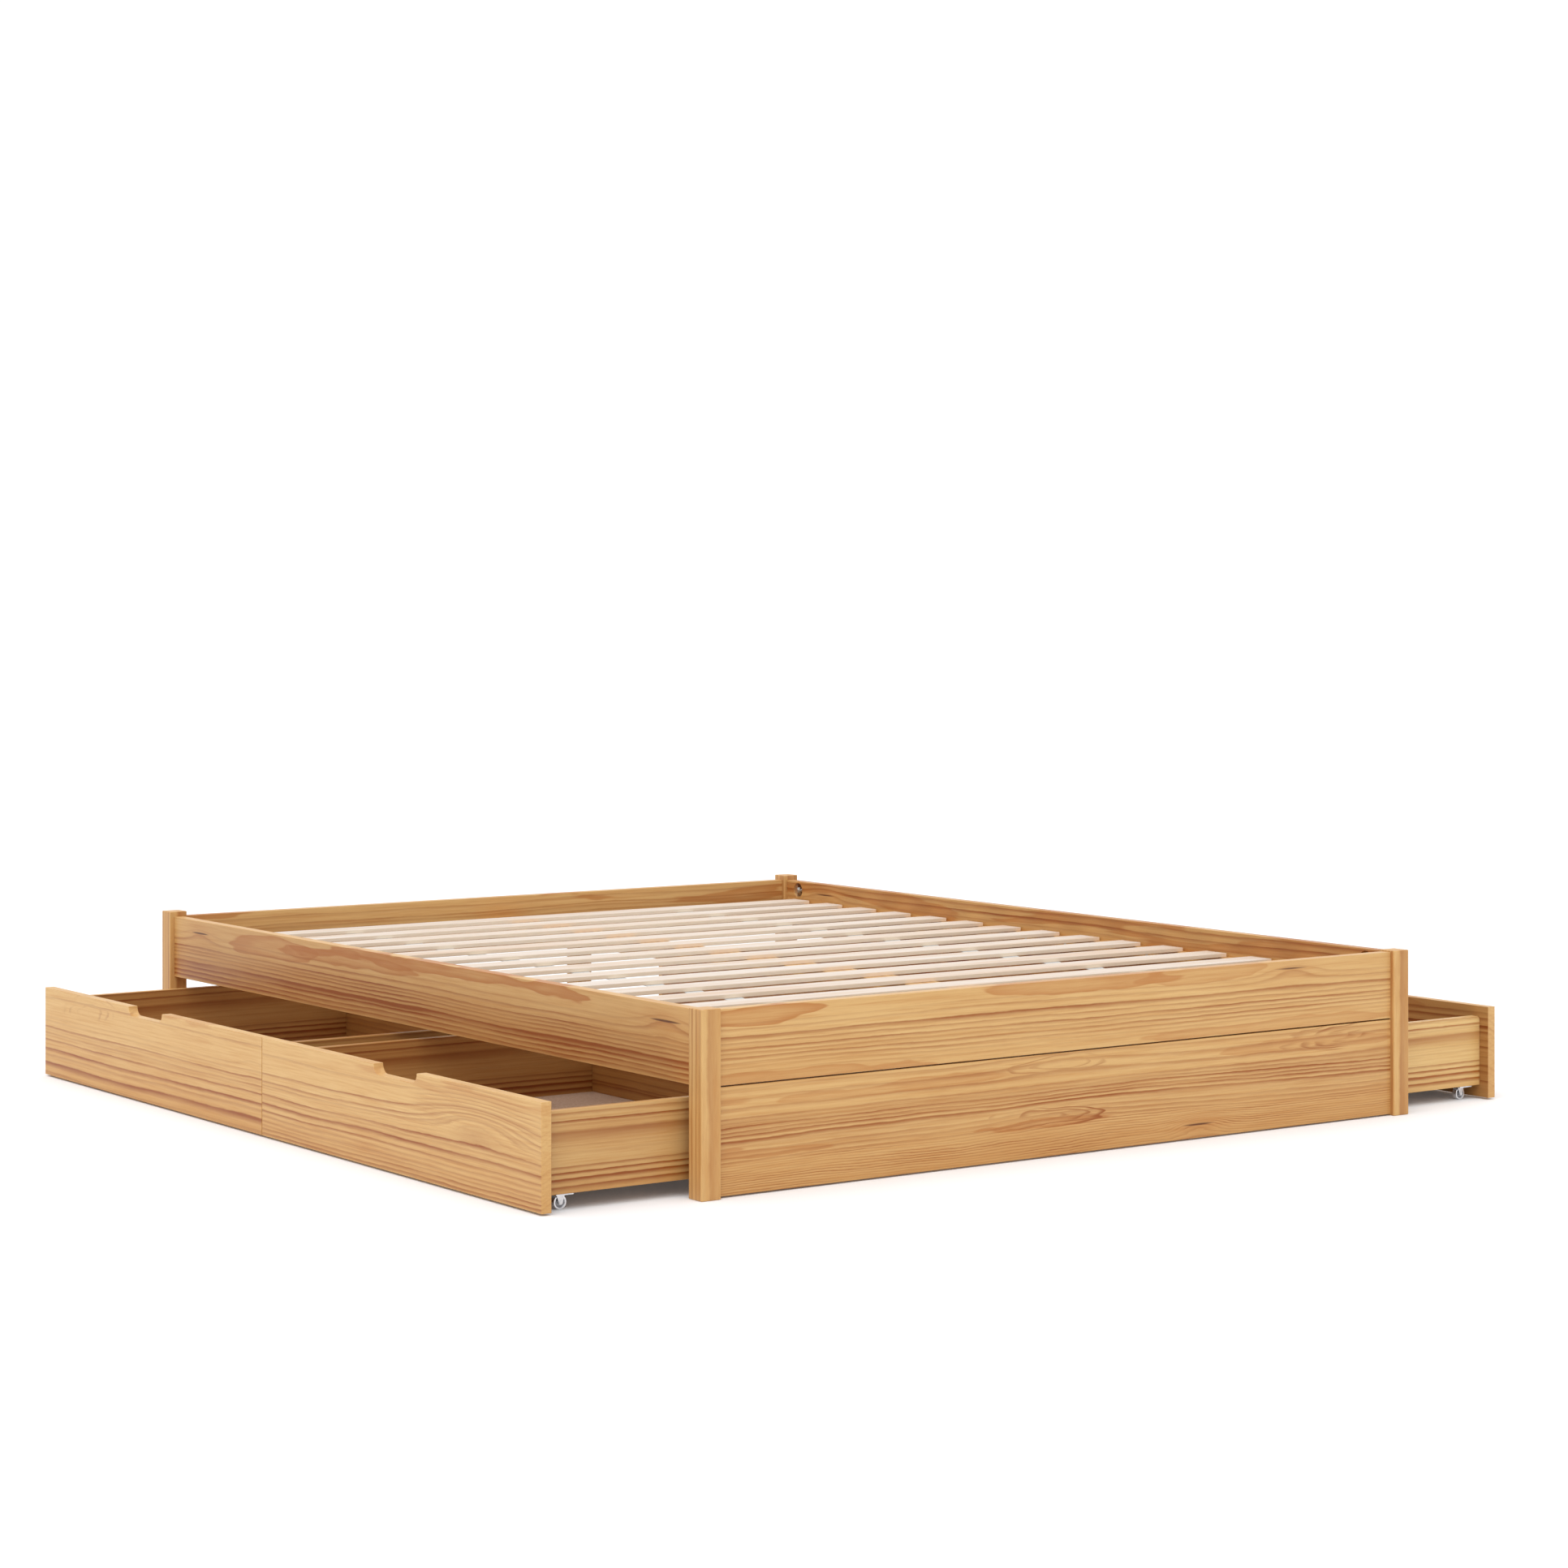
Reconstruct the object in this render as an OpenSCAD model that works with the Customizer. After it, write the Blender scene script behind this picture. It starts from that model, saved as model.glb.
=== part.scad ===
// Low platform bed in solid pine with four storage drawers on casters.
// Axes: X across the bed, Y along the bed (foot end at -Y, head end at +Y),
// Z up. The origin is on the floor under the middle of the bed. The drawers
// are drawn part way out: the left pair toward -X, the right pair toward +X.

/* [Bed frame] */
// Overall width across the posts
bed_w = 1680; // [1600:10:1800]
// Overall length across the posts
bed_l = 2106; // [2060:2:2200]
// Side of the square corner posts
post_w = 40; // [36:1:44]
// Height of the two foot posts
foot_post_h = 324; // [322:1:360]
// Height of the two head posts
head_post_h = 332; // [322:1:380]
// Height of the top edge of the rails above the floor
rail_top = 321; // [316:1:322]
// Height of a rail board
rail_h = 130; // [126:1:132]
// Thickness of the rail boards
rail_t = 22; // [20:1:24]
// Setback of the rail boards behind the outer faces of the posts
rail_setback = 10; // [8:1:11]
// Gap between the upper foot board and the lower foot board
seam = 2.6; // [1:0.2:4]
// Height of the lower foot board above the floor
panel_clear = 3; // [2:1:8]

/* [Slats] */
// Number of slats
slat_n = 15; // [11:2:15]
// Distance from one slat to the next
slat_pitch = 134.6; // [120:0.2:135]
// Width of a slat
slat_w = 62; // [50:1:70]
// Thickness of a slat
slat_t = 8; // [7:1:10]
// Height of the slats' top faces above the floor
slat_top = 278; // [276:1:280]
// Gap between a slat end and the side rail
slat_end_gap = 5; // [2:1:6]

/* [Drawers] */
// Distance from the middle of the bed to the outer face of an open drawer front
front_x = 1130; // [1000:5:1150]
// Thickness of a drawer front
front_t = 20; // [18:1:22]
// Height of a drawer front's bottom edge above the floor
front_z0 = 3.5; // [3:0.5:6]
// Height of a drawer front's top edge above the floor
front_z1 = 188; // [184:1:188]
// Gap at the outer end of a drawer front, beside the post
front_gap = 2.5; // [2:0.5:6]
// Gap between two neighbouring drawer fronts
front_split = 2; // [2:0.5:6]
// Thickness of the drawer sides and backs
side_t = 16; // [14:1:18]
// Height of a drawer side's bottom edge above the floor
side_z0 = 28; // [28:1:30]
// Height of a drawer side's top edge above the floor
side_z1 = 168; // [150:1:170]
// Depth of a drawer box behind its front
box_depth = 695; // [600:5:720]
// Thickness of the drawer bottoms
bottom_t = 6; // [4:1:6]
// Width of the finger notch at its top
notch_w = 156; // [120:2:180]
// Depth of the finger notch
notch_d = 18; // [14:1:22]

/* [Casters] */
// Radius of a caster wheel
wheel_r = 12; // [11:0.5:12]
// Width of a caster wheel
wheel_t = 10; // [8:1:10]
// Radius of a caster pin
pin_r = 2; // [1.5:0.1:2.5]
// Radial running clearance of a wheel on its pin
pin_clear = 0.06; // [0.04:0.01:0.1]

/* [Hidden] */
$fn = 48;

hw = bed_w/2;                      // half the width
hl = bed_l/2;                      // half the length
post_ix = hw - post_w;             // inner X face of the posts
post_iy = hl - post_w;             // inner Y face of the posts
rail_ox = hw - rail_setback;       // outer face of a side rail
rail_ix = rail_ox - rail_t;        // inner face of a side rail
rail_oy = hl - rail_setback;       // outer face of an end rail
rail_iy = rail_oy - rail_t;        // inner face of an end rail
rail_z0 = rail_top - rail_h;
panel_z1 = rail_z0 - seam;
slat_z0 = slat_top - slat_t;

ledger_t = 20;
ledger_h = 30;
ledger_y = post_iy - 8;
beam_w = 75;
beam_h = 28;
cleat_t = 18;
cleat_w = 125;
leg_w = 40;
leg_y = 680;
leg_top = slat_z0 - beam_h;
tape_x = 442;
tape_w = 40;
tape_t = 1.2;
tape_over = 26;                    // tape past the last slat's middle

// fasteners
screw_r = 2;
screw_head_r = 4;
screw_l = 30;
fit = 0.04;                        // radial clearance of a fastener in its hole
bolt_r = 4;
bolt_x = (rail_ix + rail_ox)/2;
bolt_z = [rail_top - 22, rail_z0 + 22];
cres_y = hl - 87;                  // centre of the round access hole
cres_r = 17.5;
cres_depth = 18.5;
dowel_r = 4;
rail_dowel_z = [rail_z0 + 45, rail_z0 + 85];
panel_dowel_z = [panel_clear + 47, panel_clear + 137];
dowel_y = (rail_iy + rail_oy)/2;

screw_y = [for (i = [0:3]) for (m = [-1, 1]) m*slat_pitch*(0.5 + 2*i)];
slat_y = [for (i = [0:slat_n-1]) (i - (slat_n-1)/2)*slat_pitch];
slat_hx = rail_ix - slat_end_gap;

// drawer box
front_y0 = front_split/2;
front_y1 = post_iy - front_gap;
front_ix = front_x - front_t;
box_back = front_x - front_t - box_depth;
side_y1 = post_iy - 25;            // outer face of the side beside the post
side_y0 = 42;                      // outer face of the side near the middle
box_my = (side_y0 + side_y1)/2;
rebate = 8;
side_round = 8;

// casters
caster_x = [front_x - 60, box_back + 45];
caster_y = [side_y0 + 21, side_y1 - 21];
plate_t = 2;
plate_l = 34;
ear_t = 1.5;
ear_gap = 0.8;

pine = [0.82, 0.63, 0.40];
pine_side = [0.78, 0.58, 0.36];
pale_slat = [0.93, 0.87, 0.80];
board = [0.62, 0.50, 0.43];
steel = [0.68, 0.68, 0.69];
zinc = [0.75, 0.74, 0.70];
dowel_c = [0.86, 0.74, 0.56];
tape_c = [0.85, 0.85, 0.85];

// ---- shared fasteners -------------------------------------------------

// Countersunk wood screw along -Z with its flat head at z = 0
module screw(r = screw_r, hr = screw_head_r, l = screw_l, c = 0) {
  translate([0, 0, -l - c]) cylinder(r = r + c, h = l + c);
  translate([0, 0, -(hr - r) - c]) cylinder(r1 = r + c, r2 = hr + c, h = hr - r + c);
}

// The wood screws of the ledgers and cleats; c widens them into their holes
module ledger_screw_set(s, c = 0) {
  for (y = screw_y)
    translate([s*(rail_ix - ledger_t), y, slat_z0 - ledger_h/2])
      rotate([0, -s*90, 0]) screw(c = c);
}
module cleat_screw_set(s, c = 0) {
  for (x = [-50, 50])
    translate([x, s*(rail_iy - cleat_t), leg_top + 8])
      rotate([s*90, 0, 0]) screw(c = c);
}

// Hanger bolts along Y for one side rail
module bolt_set(s, c = 0) {
  for (t = [-1, 1]) for (z = bolt_z)
    translate([s*bolt_x, t*(post_iy + 28 + (c > 0 ? 1 : 0)), z])
      rotate([t*90, 0, 0])
        cylinder(r = bolt_r + c, h = 28 + (hl - 40 - cres_y) + 7 + (c > 0 ? 1 : 0));
}

// Dowels along X for a board at height list zs, end side t
module board_dowels(zs, t, c = 0) {
  for (s = [-1, 1]) for (z = zs)
    translate([s*post_ix - 20 - c, t*dowel_y, z]) rotate([0, 90, 0])
      cylinder(r = dowel_r + c, h = 40 + 2*c);
}

// ---- frame ------------------------------------------------------------

module post(s, t, h) {
  difference() {
    translate([s*(hw - post_w/2) - post_w/2, t*(hl - post_w/2) - post_w/2, 0])
      cube([post_w, post_w, h]);
    bolt_set(s, fit);
    board_dowels(rail_dowel_z, t, fit);
    if (t < 0) board_dowels(panel_dowel_z, t, fit);
  }
}

module end_board(t, z0, z1, zs) {
  difference() {
    translate([-post_ix, t > 0 ? rail_iy : -rail_oy, z0])
      cube([2*post_ix, rail_t, z1 - z0]);
    board_dowels(zs, t, fit);
    if (z1 == rail_top) cleat_screw_set(t, fit);
  }
}

module side_rail(s) {
  difference() {
    translate([s > 0 ? rail_ix : -rail_ox, -post_iy, rail_z0])
      cube([rail_t, 2*post_iy, rail_h]);
    // round access holes, blind, open on the inner face
    for (t = [-1, 1]) for (z = bolt_z)
      translate([s*(rail_ix - 1), t*cres_y, z]) rotate([0, s*90, 0])
        cylinder(r = cres_r, h = cres_depth + 1);
    // bolt bores from the rail ends into the access holes
    for (t = [-1, 1]) for (z = bolt_z)
      translate([s*bolt_x, t*(post_iy + 1), z]) rotate([t*90, 0, 0])
        cylinder(r = bolt_r + fit, h = post_iy + 1 - cres_y);
    ledger_screw_set(s, fit);
  }
}

module ledger(s) {
  difference() {
    translate([s > 0 ? rail_ix - ledger_t : -rail_ix, -ledger_y, slat_z0 - ledger_h])
      cube([ledger_t, 2*ledger_y, ledger_h]);
    ledger_screw_set(s, fit);
  }
}

module centre_beam() {
  color(pine_side) difference() {
    translate([-beam_w/2, -rail_iy + 0.5, leg_top]) cube([beam_w, 2*rail_iy - 1, beam_h]);
    leg_bolt_set(fit);
  }
}

module beam_cleats() {
  color(pine_side) for (t = [-1, 1]) difference() {
    translate([-cleat_w/2, t > 0 ? rail_iy - cleat_t : -rail_iy, leg_top - 12])
      cube([cleat_w, cleat_t, 36]);
    translate([-beam_w/2 - 0.1, t*rail_iy - cleat_t - 1, leg_top])
      cube([beam_w + 0.2, 2*cleat_t + 2, 60]);
    cleat_screw_set(t, fit);
  }
}

module leg_bolt_set(c = 0) {
  for (t = [-1, 1]) translate([0, t*leg_y, leg_top - 40 - c])
    cylinder(r = 3 + c, h = 68 + 2*c);
}

module centre_leg(t) {
  color(pine_side) difference() {
    translate([-leg_w/2, t*leg_y - leg_w/2, 0]) cube([leg_w, leg_w, leg_top]);
    leg_bolt_set(fit);
  }
}

module slats() {
  color(pale_slat) difference() {
    for (y = slat_y) translate([-slat_hx, y - slat_w/2, slat_z0])
      cube([2*slat_hx, slat_w, slat_t]);
    staple_set(fit);
  }
}

// Webbing tapes under the slats, which keep them at their spacing
module slat_tapes() {
  color(tape_c) difference() {
    for (s = [-1, 1]) translate([s*tape_x - tape_w/2, slat_y[0] - tape_over, slat_z0 - tape_t])
      cube([tape_w, slat_y[slat_n-1] - slat_y[0] + 2*tape_over, tape_t]);
    staple_set(fit);
  }
}

// Staples, one for each slat on each tape, driven up from below
module staple_set(c = 0) {
  for (s = [-1, 1]) for (y = slat_y) {
    if (c == 0) translate([s*tape_x - 5, y - 0.6, slat_z0 - tape_t - 0.8]) cube([10, 1.2, 0.8]);
    for (m = [-1, 1]) translate([s*tape_x + m*4.4 - 0.6 - c, y - 0.6 - c, slat_z0 - tape_t - (c > 0 ? 1 : 0.01)])
      cube([1.2 + 2*c, 1.2 + 2*c, tape_t + 5.5 + (c > 0 ? 1 : 0)]);
  }
}

module wood_screws() {
  color(zinc) for (s = [-1, 1]) { ledger_screw_set(s); cleat_screw_set(s); }
}

// Half-moon washers that bear on the wall of each access hole
module crescent_washers() {
  color(steel) for (s = [-1, 1]) for (t = [-1, 1]) for (z = bolt_z) difference() {
    intersection() {
      translate([s*(bolt_x - 7), t*cres_y, z]) rotate([0, s*90, 0])
        cylinder(r = cres_r - 0.1, h = 12);
      translate([s*bolt_x - 20, t*(cres_y + 7.5 + 10) - 10, z - 20]) cube([40, 20, 40]);
    }
    translate([s*bolt_x, t*(cres_y + 30), z]) rotate([t*90, 0, 0])
      cylinder(r = bolt_r + 0.3, h = 60);
  }
}

module bolt_nuts() {
  color(zinc) for (s = [-1, 1]) for (t = [-1, 1]) for (z = bolt_z)
    translate([s*bolt_x, t*(cres_y + 7.4), z]) rotate([t*90, 0, 0]) difference() {
      cylinder(r = 7.2, h = 6.5, $fn = 6);
      translate([0, 0, -1]) cylinder(r = bolt_r + fit, h = 9);
    }
}

// ---- drawers: drawn for the +X +Y corner, mirrored for the others ------

module place(s, t) { mirror([s < 0 ? 1 : 0, 0, 0]) mirror([0, t < 0 ? 1 : 0, 0]) children(); }

// Dowels that join the sides to the front and the back to the sides
module dowel_set(c = 0) {
  for (z = [side_z0 + 42, side_z0 + 106]) {
    for (y = [side_y0 + side_t/2, side_y1 - side_t/2])
      translate([front_ix - 18 - c, y, z]) rotate([0, 90, 0]) cylinder(r = 3 + c, h = 30 + 2*c);
    for (y = [side_y0 + 6, side_y1 - 34])
      translate([box_back + side_t/2, y - c, z]) rotate([-90, 0, 0]) cylinder(r = 3 + c, h = 28 + 2*c);
  }
}

module drawer_front() {
  color(pine) difference() {
    translate([front_ix, front_y0, front_z0]) cube([front_t, front_y1 - front_y0, front_z1 - front_z0]);
    // finger notch: upright ends that turn into a flat bottom
    translate([front_ix - 1, box_my, front_z1]) rotate([90, 0, 90]) linear_extrude(front_t + 2) {
      translate([-notch_w/2 + notch_d, -notch_d]) square([notch_w - 2*notch_d, notch_d + 1]);
      translate([-notch_w/2, 0]) square([notch_w, 1]);
      for (m = [-1, 1]) intersection() {
        translate([m*(notch_w/2 - notch_d), 0]) circle(r = notch_d, $fn = 96);
        translate([m > 0 ? notch_w/2 - notch_d : -notch_w/2, -notch_d]) square([notch_d, notch_d]);
      }
    }
    dowel_set(fit);
  }
}

module bottom_box(c = 0) {
  translate([box_back + rebate - c, side_y0 + rebate - c, side_z0 - (c > 0 ? 1 : 0)])
    cube([front_ix - box_back - rebate + c + (c > 0 ? 1 : 0), side_y1 - side_y0 - 2*rebate + 2*c,
          bottom_t + (c > 0 ? 1 : 0)]);
}

module caster_screw_set(c = 0) {
  for (x = caster_x) for (m = [0, 1]) for (d = [-12, 12])
    translate([x + d, m == 0 ? side_y0 + 4.6 : side_y1 - 4.6, side_z0 - plate_t]) rotate([180, 0, 0])
      screw(r = 1.5, hr = 2.6, l = 18, c = c);
}

module drawer_side(y0) {
  color(pine_side) difference() {
    translate([box_back, y0, side_z0]) cube([front_ix - box_back, side_t, side_z1 - side_z0]);
    // rounded upper front corner
    translate([front_ix - side_round, y0 - 1, side_z1 - side_round]) difference() {
      cube([side_round + 1, side_t + 2, side_round + 1]);
      rotate([-90, 0, 0]) cylinder(r = side_round, h = side_t + 2);
    }
    bottom_box(0.02);
    dowel_set(fit);
    caster_screw_set(fit);
  }
}

module drawer_back() {
  color(pine_side) difference() {
    translate([box_back, side_y0 + side_t, side_z0])
      cube([side_t, side_y1 - side_y0 - 2*side_t, side_z1 - side_z0]);
    bottom_box(0.02);
    dowel_set(fit);
  }
}

module drawer_bottom() { color(board) bottom_box(); }

module drawer_dowels() { color(dowel_c) dowel_set(); }

// Fixed forks with their riveted pins and fixing screws
module caster_forks() {
  color(steel) {
    for (x = caster_x) for (m = [0, 1]) {
      y = caster_y[m];
      difference() {
        translate([x, y, 0]) union() {
          translate([-plate_l/2, m == 0 ? -20.5 : -16, side_z0 - plate_t]) cube([plate_l, 36.5, plate_t]);
          for (k = [-1, 1])
            translate([0, k > 0 ? wheel_t/2 + ear_gap + ear_t : -wheel_t/2 - ear_gap, 0])
              rotate([90, 0, 0]) linear_extrude(ear_t) {
                polygon([[-11, side_z0 - plate_t + 0.5], [11, side_z0 - plate_t + 0.5],
                         [8, side_z0 - plate_t - 2], [4, wheel_r + 1], [-4, wheel_r + 1],
                         [-8, side_z0 - plate_t - 2]]);
                translate([0, wheel_r]) circle(r = 4.1);
              }
        }
        translate([x, y - 10, wheel_r]) rotate([-90, 0, 0]) cylinder(r = pin_r + 0.02, h = 20);
        caster_screw_set(fit);
      }
      // pin with a flat rivet head at each end
      translate([x, y, wheel_r]) rotate([-90, 0, 0]) {
        translate([0, 0, -wheel_t/2 - ear_gap - ear_t - 0.9])
          cylinder(r = pin_r, h = wheel_t + 2*ear_gap + 2*ear_t + 1.8);
        for (k = [-1, 1])
          translate([0, 0, k*(wheel_t/2 + ear_gap + ear_t + 0.5) - 0.45]) cylinder(r = pin_r + 1, h = 0.9);
      }
    }
    caster_screw_set();
  }
}

module wheels(x) {
  color(steel) for (y = caster_y) translate([x, y, wheel_r]) rotate([90, 0, 0]) difference() {
    translate([0, 0, -wheel_t/2]) cylinder(r = wheel_r, h = wheel_t, $fn = 96);
    translate([0, 0, -wheel_t]) cylinder(r = pin_r + pin_clear, h = 2*wheel_t);
    for (k = [-1, 1]) translate([0, 0, k*wheel_t/2 - 1.6]) difference() {
      cylinder(r = wheel_r - 2.4, h = 3.2);
      translate([0, 0, -1]) cylinder(r = 4.4, h = 6);
    }
  }
}

// ---- nodes --------------------------------------------------------------

color(pine) post(-1, -1, foot_post_h);  // post_foot_left
color(pine) post(1, -1, foot_post_h);  // post_foot_right
color(pine) post(-1, 1, head_post_h);  // post_head_left
color(pine) post(1, 1, head_post_h);  // post_head_right
color(pine) end_board(-1, rail_z0, rail_top, rail_dowel_z);  // foot_rail
color(pine) end_board(-1, panel_clear, panel_z1, panel_dowel_z);  // foot_panel
color(pine) end_board(1, rail_z0, rail_top, rail_dowel_z);  // head_rail
color(pine) side_rail(-1);  // side_rail_left
color(pine) side_rail(1);  // side_rail_right
color(pine_side) ledger(-1);  // ledger_left
color(pine_side) ledger(1);  // ledger_right
centre_beam();
beam_cleats();
centre_leg(-1);  // centre_leg_foot
centre_leg(1);  // centre_leg_head
slats();
slat_tapes();
color(steel) staple_set();  // slat_staples
wood_screws();
color(zinc) { bolt_set(-1); bolt_set(1); }  // bed_bolts
crescent_washers();
bolt_nuts();
color(dowel_c) {  // end_dowels
  board_dowels(rail_dowel_z, -1); board_dowels(rail_dowel_z, 1); board_dowels(panel_dowel_z, -1); }
color(zinc) leg_bolt_set();  // leg_bolts

place(-1, -1) drawer_front();  // lf_front
place(-1, -1) drawer_side(side_y1 - side_t);  // lf_side_outer
place(-1, -1) drawer_side(side_y0);  // lf_side_inner
place(-1, -1) drawer_back();  // lf_back
place(-1, -1) drawer_bottom();  // lf_bottom
place(-1, -1) drawer_dowels();  // lf_dowels
place(-1, -1) caster_forks();  // lf_caster_forks
place(-1, -1) wheels(caster_x[0]);  // lf_wheels_front
place(-1, -1) wheels(caster_x[1]);  // lf_wheels_rear

place(-1, 1) drawer_front();  // lh_front
place(-1, 1) drawer_side(side_y1 - side_t);  // lh_side_outer
place(-1, 1) drawer_side(side_y0);  // lh_side_inner
place(-1, 1) drawer_back();  // lh_back
place(-1, 1) drawer_bottom();  // lh_bottom
place(-1, 1) drawer_dowels();  // lh_dowels
place(-1, 1) caster_forks();  // lh_caster_forks
place(-1, 1) wheels(caster_x[0]);  // lh_wheels_front
place(-1, 1) wheels(caster_x[1]);  // lh_wheels_rear

place(1, -1) drawer_front();  // rf_front
place(1, -1) drawer_side(side_y1 - side_t);  // rf_side_outer
place(1, -1) drawer_side(side_y0);  // rf_side_inner
place(1, -1) drawer_back();  // rf_back
place(1, -1) drawer_bottom();  // rf_bottom
place(1, -1) drawer_dowels();  // rf_dowels
place(1, -1) caster_forks();  // rf_caster_forks
place(1, -1) wheels(caster_x[0]);  // rf_wheels_front
place(1, -1) wheels(caster_x[1]);  // rf_wheels_rear

place(1, 1) drawer_front();  // rh_front
place(1, 1) drawer_side(side_y1 - side_t);  // rh_side_outer
place(1, 1) drawer_side(side_y0);  // rh_side_inner
place(1, 1) drawer_back();  // rh_back
place(1, 1) drawer_bottom();  // rh_bottom
place(1, 1) drawer_dowels();  // rh_dowels
place(1, 1) caster_forks();  // rh_caster_forks
place(1, 1) wheels(caster_x[0]);  // rh_wheels_front
place(1, 1) wheels(caster_x[1]);  // rh_wheels_rear
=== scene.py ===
import bpy, bmesh, math, random
import numpy as np
from mathutils import Vector, Matrix


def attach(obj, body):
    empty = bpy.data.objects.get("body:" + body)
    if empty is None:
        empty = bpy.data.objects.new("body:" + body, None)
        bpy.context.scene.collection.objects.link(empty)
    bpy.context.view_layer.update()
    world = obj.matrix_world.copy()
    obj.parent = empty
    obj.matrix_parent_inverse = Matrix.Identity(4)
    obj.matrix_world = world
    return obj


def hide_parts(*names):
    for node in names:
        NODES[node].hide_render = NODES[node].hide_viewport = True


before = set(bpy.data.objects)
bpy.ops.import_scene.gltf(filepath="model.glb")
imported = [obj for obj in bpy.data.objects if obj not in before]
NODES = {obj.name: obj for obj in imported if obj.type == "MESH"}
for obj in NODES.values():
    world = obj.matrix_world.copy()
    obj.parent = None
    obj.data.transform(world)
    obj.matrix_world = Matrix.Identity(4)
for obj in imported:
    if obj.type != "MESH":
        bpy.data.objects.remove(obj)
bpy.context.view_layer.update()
scene = bpy.context.scene
SIDES = [("lf", -1, -1), ("lh", -1, 1), ("rf", 1, -1), ("rh", 1, 1)]


# ---------------------------------------------------------------- node helpers
class Graph:
    """Small helper around a node tree: makes nodes, wires them, returns sockets."""

    def __init__(self, tree):
        self.t = tree
        self.n = 0

    def new(self, kind, **props):
        node = self.t.nodes.new(kind)
        node.location = ((self.n % 12) * 190, -(self.n // 12) * 260)
        self.n += 1
        for k, v in props.items():
            setattr(node, k, v)
        return node

    def put(self, sock, value):
        if hasattr(value, "is_output"):
            self.t.links.new(value, sock)
        elif value is not None:
            sock.default_value = value

    def math(self, op, a, b=None, c=None, clamp=False):
        n = self.new("ShaderNodeMath", operation=op, use_clamp=clamp)
        self.put(n.inputs[0], a)
        if b is not None:
            self.put(n.inputs[1], b)
        if c is not None:
            self.put(n.inputs[2], c)
        return n.outputs[0]

    def vmath(self, op, a, b=None, scale=None):
        n = self.new("ShaderNodeVectorMath", operation=op)
        self.put(n.inputs[0], a)
        if b is not None:
            self.put(n.inputs[1], b)
        if scale is not None:
            self.put(n.inputs[3], scale)
        return n.outputs[1] if op in ("LENGTH", "DISTANCE", "DOT_PRODUCT") else n.outputs[0]

    def sep(self, v):
        n = self.new("ShaderNodeSeparateXYZ")
        self.put(n.inputs[0], v)
        return n.outputs[0], n.outputs[1], n.outputs[2]

    def comb(self, x=0.0, y=0.0, z=0.0):
        n = self.new("ShaderNodeCombineXYZ")
        self.put(n.inputs[0], x)
        self.put(n.inputs[1], y)
        self.put(n.inputs[2], z)
        return n.outputs[0]

    def noise(self, v, scale=1.0, detail=2.0, rough=0.5, dist=0.0, w=None, colour=False):
        n = self.new("ShaderNodeTexNoise", noise_dimensions="4D" if w is not None else "3D")
        self.put(n.inputs["Vector"], v)
        self.put(n.inputs["Scale"], scale)
        self.put(n.inputs["Detail"], detail)
        self.put(n.inputs["Roughness"], rough)
        self.put(n.inputs["Distortion"], dist)
        if w is not None:
            self.put(n.inputs["W"], w)
        return n.outputs["Color"] if colour else n.outputs["Fac"]

    def white(self, w):
        n = self.new("ShaderNodeTexWhiteNoise", noise_dimensions="1D")
        self.put(n.inputs["W"], w)
        return n.outputs["Value"]

    def step(self, x, lo, hi, a=0.0, b=1.0, kind="SMOOTHSTEP"):
        n = self.new("ShaderNodeMapRange", interpolation_type=kind)
        self.put(n.inputs[0], x)
        self.put(n.inputs[1], lo)
        self.put(n.inputs[2], hi)
        self.put(n.inputs[3], a)
        self.put(n.inputs[4], b)
        return n.outputs[0]

    def mix(self, f, a, b, kind="MIX"):
        n = self.new("ShaderNodeMix", data_type="RGBA", blend_type=kind)
        self.put(n.inputs[0], f)
        self.put(n.inputs[6], a)
        self.put(n.inputs[7], b)
        return n.outputs[2]

    def ramp(self, f, stops, interp="LINEAR"):
        n = self.new("ShaderNodeValToRGB")
        r = n.color_ramp
        r.interpolation = interp
        r.elements.remove(r.elements[1])
        r.elements[0].position = stops[0][0]
        for k, (p, c) in enumerate(stops):
            e = r.elements[0] if k == 0 else r.elements.new(p)
            e.color = (*c, 1.0) if len(c) == 3 else c
        self.put(n.inputs[0], f)
        return n.outputs[0]


def lin(r, g, b):
    """sRGB 0 to 255 to linear."""
    f = lambda c: (c / 255) / 12.92 if c / 255 <= 0.04045 else (((c / 255) + 0.055) / 1.055) ** 2.4
    return (f(r), f(g), f(b))


# ---------------------------------------------------------------- pine boards


def toned(r, g, b, k=(0.89, 0.845, 0.745)):
    """A wood tone as it looks under this studio's light, which is brighter than 1."""
    return tuple(c * f for c, f in zip(lin(r, g, b), k))


LIGHT = toned(230, 193, 136)
MID = toned(212, 164, 104)
AMBER = toned(198, 138, 74)
LINE = toned(156, 84, 28)
PATCH = toned(188, 118, 56)
KNOT = toned(92, 46, 22)
TONES = (LIGHT, MID, AMBER, LINE, PATCH, KNOT)
# painted shade for the faces inside the drawers, multiplied into their colour
INSIDE_SHADE = (0.66, 0.56, 0.46)


def random_lines(rng, height, gap=0.012, first=0.006):
    """Years of growth across a board: where each dark line lies, how strong and how wide it is."""
    out, v = [], first
    while v < height - 0.002:
        out.append((v, rng.uniform(0.35, 1.0), rng.uniform(0.0017, 0.0034)))
        v += gap * rng.uniform(0.45, 1.6)
    return out


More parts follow.
